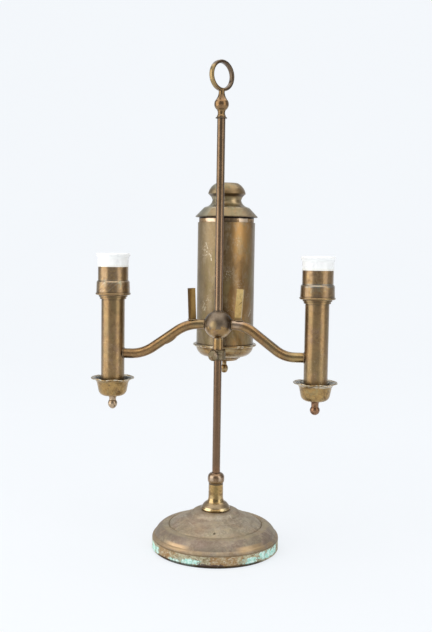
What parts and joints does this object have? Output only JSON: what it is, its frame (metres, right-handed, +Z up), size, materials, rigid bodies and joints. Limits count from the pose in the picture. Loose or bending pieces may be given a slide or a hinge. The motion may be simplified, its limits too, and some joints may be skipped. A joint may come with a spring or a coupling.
{
  "type": "argand lamp",
  "caption": "Brass double student lamp with lampholders: sliding arms, drip cups, oil cistern with lift-out fount, and a round weighted foot.",
  "frame": {"origin": "middle of the foot's underside, on the rod's axis", "axes": "+Z up along the rod; +X along the right arm; +Y from the rod towards the oil cistern, away from the picture's view"},
  "size_m": [0.3112, 0.1807, 0.6042],
  "materials": {
    "foot_brass": "dull, stained, verdigris at the rim",
    "cast_iron": "rough cast",
    "steel": "dull",
    "felt": "worn felt",
    "stem_brass": "worn polish",
    "rod_brass": "aged, streaked",
    "knob_brass": "aged",
    "collar_brass": "aged, dull",
    "hub_brass": "grey patina",
    "arm_brass": "aged",
    "strip_brass": "cleaner, golden",
    "cistern_brass": "mottled, scratched",
    "bowl_brass": "mottled",
    "fount_brass": "cleaner inside the cistern",
    "lid_brass": "green-grey patina",
    "tube_brass": "aged lacquer",
    "holder_brass": "aged",
    "cup_brass": "worn, golden",
    "finial_copper": "coppery",
    "inner_brass": "clean",
    "bush_brass": "aged",
    "porcelain": "white glaze",
    "wire_cover": "dark brown cover"
  },
  "bodies": {
    "stand": {"base_shell": "foot_brass", "base_weight": "cast_iron", "base_plate": "steel", "base_felt": "felt", "rod_washer": "steel", "rod_nut": "steel", "stem_socket": "stem_brass", "stem_cap": "stem_brass", "rod": "rod_brass", "finger_ring": "knob_brass", "top_knob": "knob_brass"},
    "clamp": {"clamp_collar": "collar_brass"},
    "screw": {"thumb_screw": "collar_brass"},
    "carriage": {"hub_ball": "hub_brass", "hub_sleeve": "hub_brass", "left_arm": "arm_brass", "right_arm": "arm_brass", "tank_link": "arm_brass", "left_strip": "strip_brass", "right_strip": "strip_brass", "cistern": "cistern_brass", "cistern_bowl": "bowl_brass", "cistern_disc": "bowl_brass", "cistern_finial": "bowl_brass", "fount_rest": "fount_brass", "left_burner_tube": "tube_brass", "right_burner_tube": "tube_brass", "left_gallery": "tube_brass", "right_gallery": "tube_brass", "left_holder_cap": "holder_brass", "right_holder_cap": "holder_brass", "left_holder_shell": "holder_brass", "right_holder_shell": "holder_brass", "left_drip_cup": "cup_brass", "right_drip_cup": "cup_brass", "left_drip_finial": "finial_copper", "right_drip_finial": "finial_copper", "left_tube_plug": "inner_brass", "right_tube_plug": "inner_brass", "left_screw_shell": "inner_brass", "right_screw_shell": "inner_brass", "left_centre_contact": "inner_brass", "right_centre_contact": "inner_brass", "terminal_screws": "inner_brass", "cable_bush": "bush_brass", "left_porcelain_ring": "porcelain", "right_porcelain_ring": "porcelain", "left_porcelain_core": "porcelain", "right_porcelain_core": "porcelain", "left_wires": "wire_cover", "right_wires": "wire_cover"},
    "fount": {"fount_can": "fount_brass", "fount_neck": "fount_brass", "fount_lid": "lid_brass"},
    "valve": {"fount_valve": "fount_brass"}
  },
  "joints": [
    {"name": "collar_slide", "type": "slide", "parent": "stand", "child": "clamp", "axis": [0, 0, 1], "range_m": [-0.14, 0.23]},
    {"name": "thumb_screw_turn", "type": "hinge", "parent": "clamp", "child": "screw", "pos_m": [0, 0, 0.2444], "axis": [-0.2588, -0.9659, 0], "range_deg": [-720, 90]},
    {"name": "carriage_swivel", "type": "hinge", "parent": "clamp", "child": "carriage", "pos_m": [0, 0, 0.282], "axis": [0, 0, 1], "continuous": true},
    {"name": "fount_lift", "type": "slide", "parent": "carriage", "child": "fount", "axis": [0, 0, 1], "range_m": [0, 0.16]},
    {"name": "valve_lift", "type": "slide", "parent": "fount", "child": "valve", "axis": [0, 0, 1], "range_m": [0, 0.004]}
  ]
}
